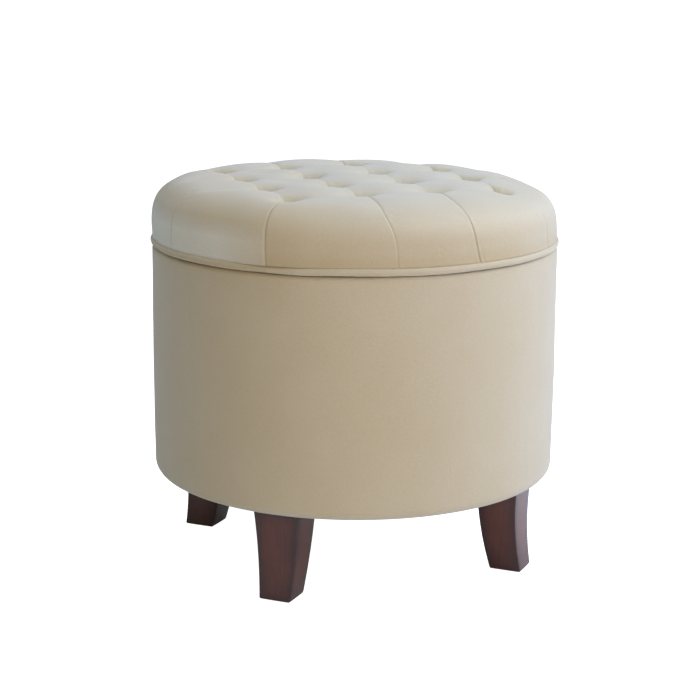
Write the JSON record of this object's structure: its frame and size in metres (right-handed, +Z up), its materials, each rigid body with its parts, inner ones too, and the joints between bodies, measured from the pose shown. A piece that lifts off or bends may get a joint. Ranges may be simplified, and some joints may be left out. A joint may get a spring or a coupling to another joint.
{
  "type": "storage ottoman",
  "caption": "Round upholstered storage ottoman: padded drum on short sabre legs, with a tufted cushioned lid that lifts off the storage space.",
  "frame": {"origin": "on the floor, under the centre of the drum", "axes": "+Z up along the drum's axis, front towards -Y, +X to the right seen from the front; the legs stand on the diagonals"},
  "size_m": [0.4866, 0.4864, 0.4612],
  "materials": {
    "velvet": "short-pile velvet",
    "foam": "open-cell foam",
    "lining_cloth": "non-woven cloth",
    "dust_cloth": "non-woven cloth",
    "twine": "twisted cotton",
    "plywood": "sanded",
    "hardboard": "smooth",
    "stained_wood": "stained and lacquered",
    "steel": "zinc plated",
    "nylon": "moulded"
  },
  "bodies": {
    "base": {"base_board": "plywood", "inner_wall_ply": "plywood", "outer_wall_ply": "plywood", "wall_screws": "steel", "wall_padding": "foam", "wall_cover": "velvet", "storage_lining": "lining_cloth", "floor_panel": "hardboard", "floor_cloth": "lining_cloth", "dust_cover": "dust_cloth", "base_staples": "steel", "leg_front_left": "stained_wood", "leg_front_right": "stained_wood", "leg_back_left": "stained_wood", "leg_back_right": "stained_wood", "leg_bolts": "steel", "tee_nuts": "steel", "leg_dowels": "plywood", "leg_glides": "nylon", "glide_nails": "steel"},
    "lid": {"lid_board": "plywood", "lid_foam": "foam", "lid_cover": "velvet", "tuft_twines": "twine", "tuft_anchors": "nylon", "welt_cover": "velvet", "welt_cord": "twine", "lid_lining": "lining_cloth", "lid_staples": "steel", "locating_ring": "plywood", "ring_screws": "steel"}
  },
  "joints": [
    {"name": "lid_lift", "type": "slide", "parent": "base", "child": "lid", "axis": [0, 0, 1], "range_m": [0, 0.3]}
  ]
}
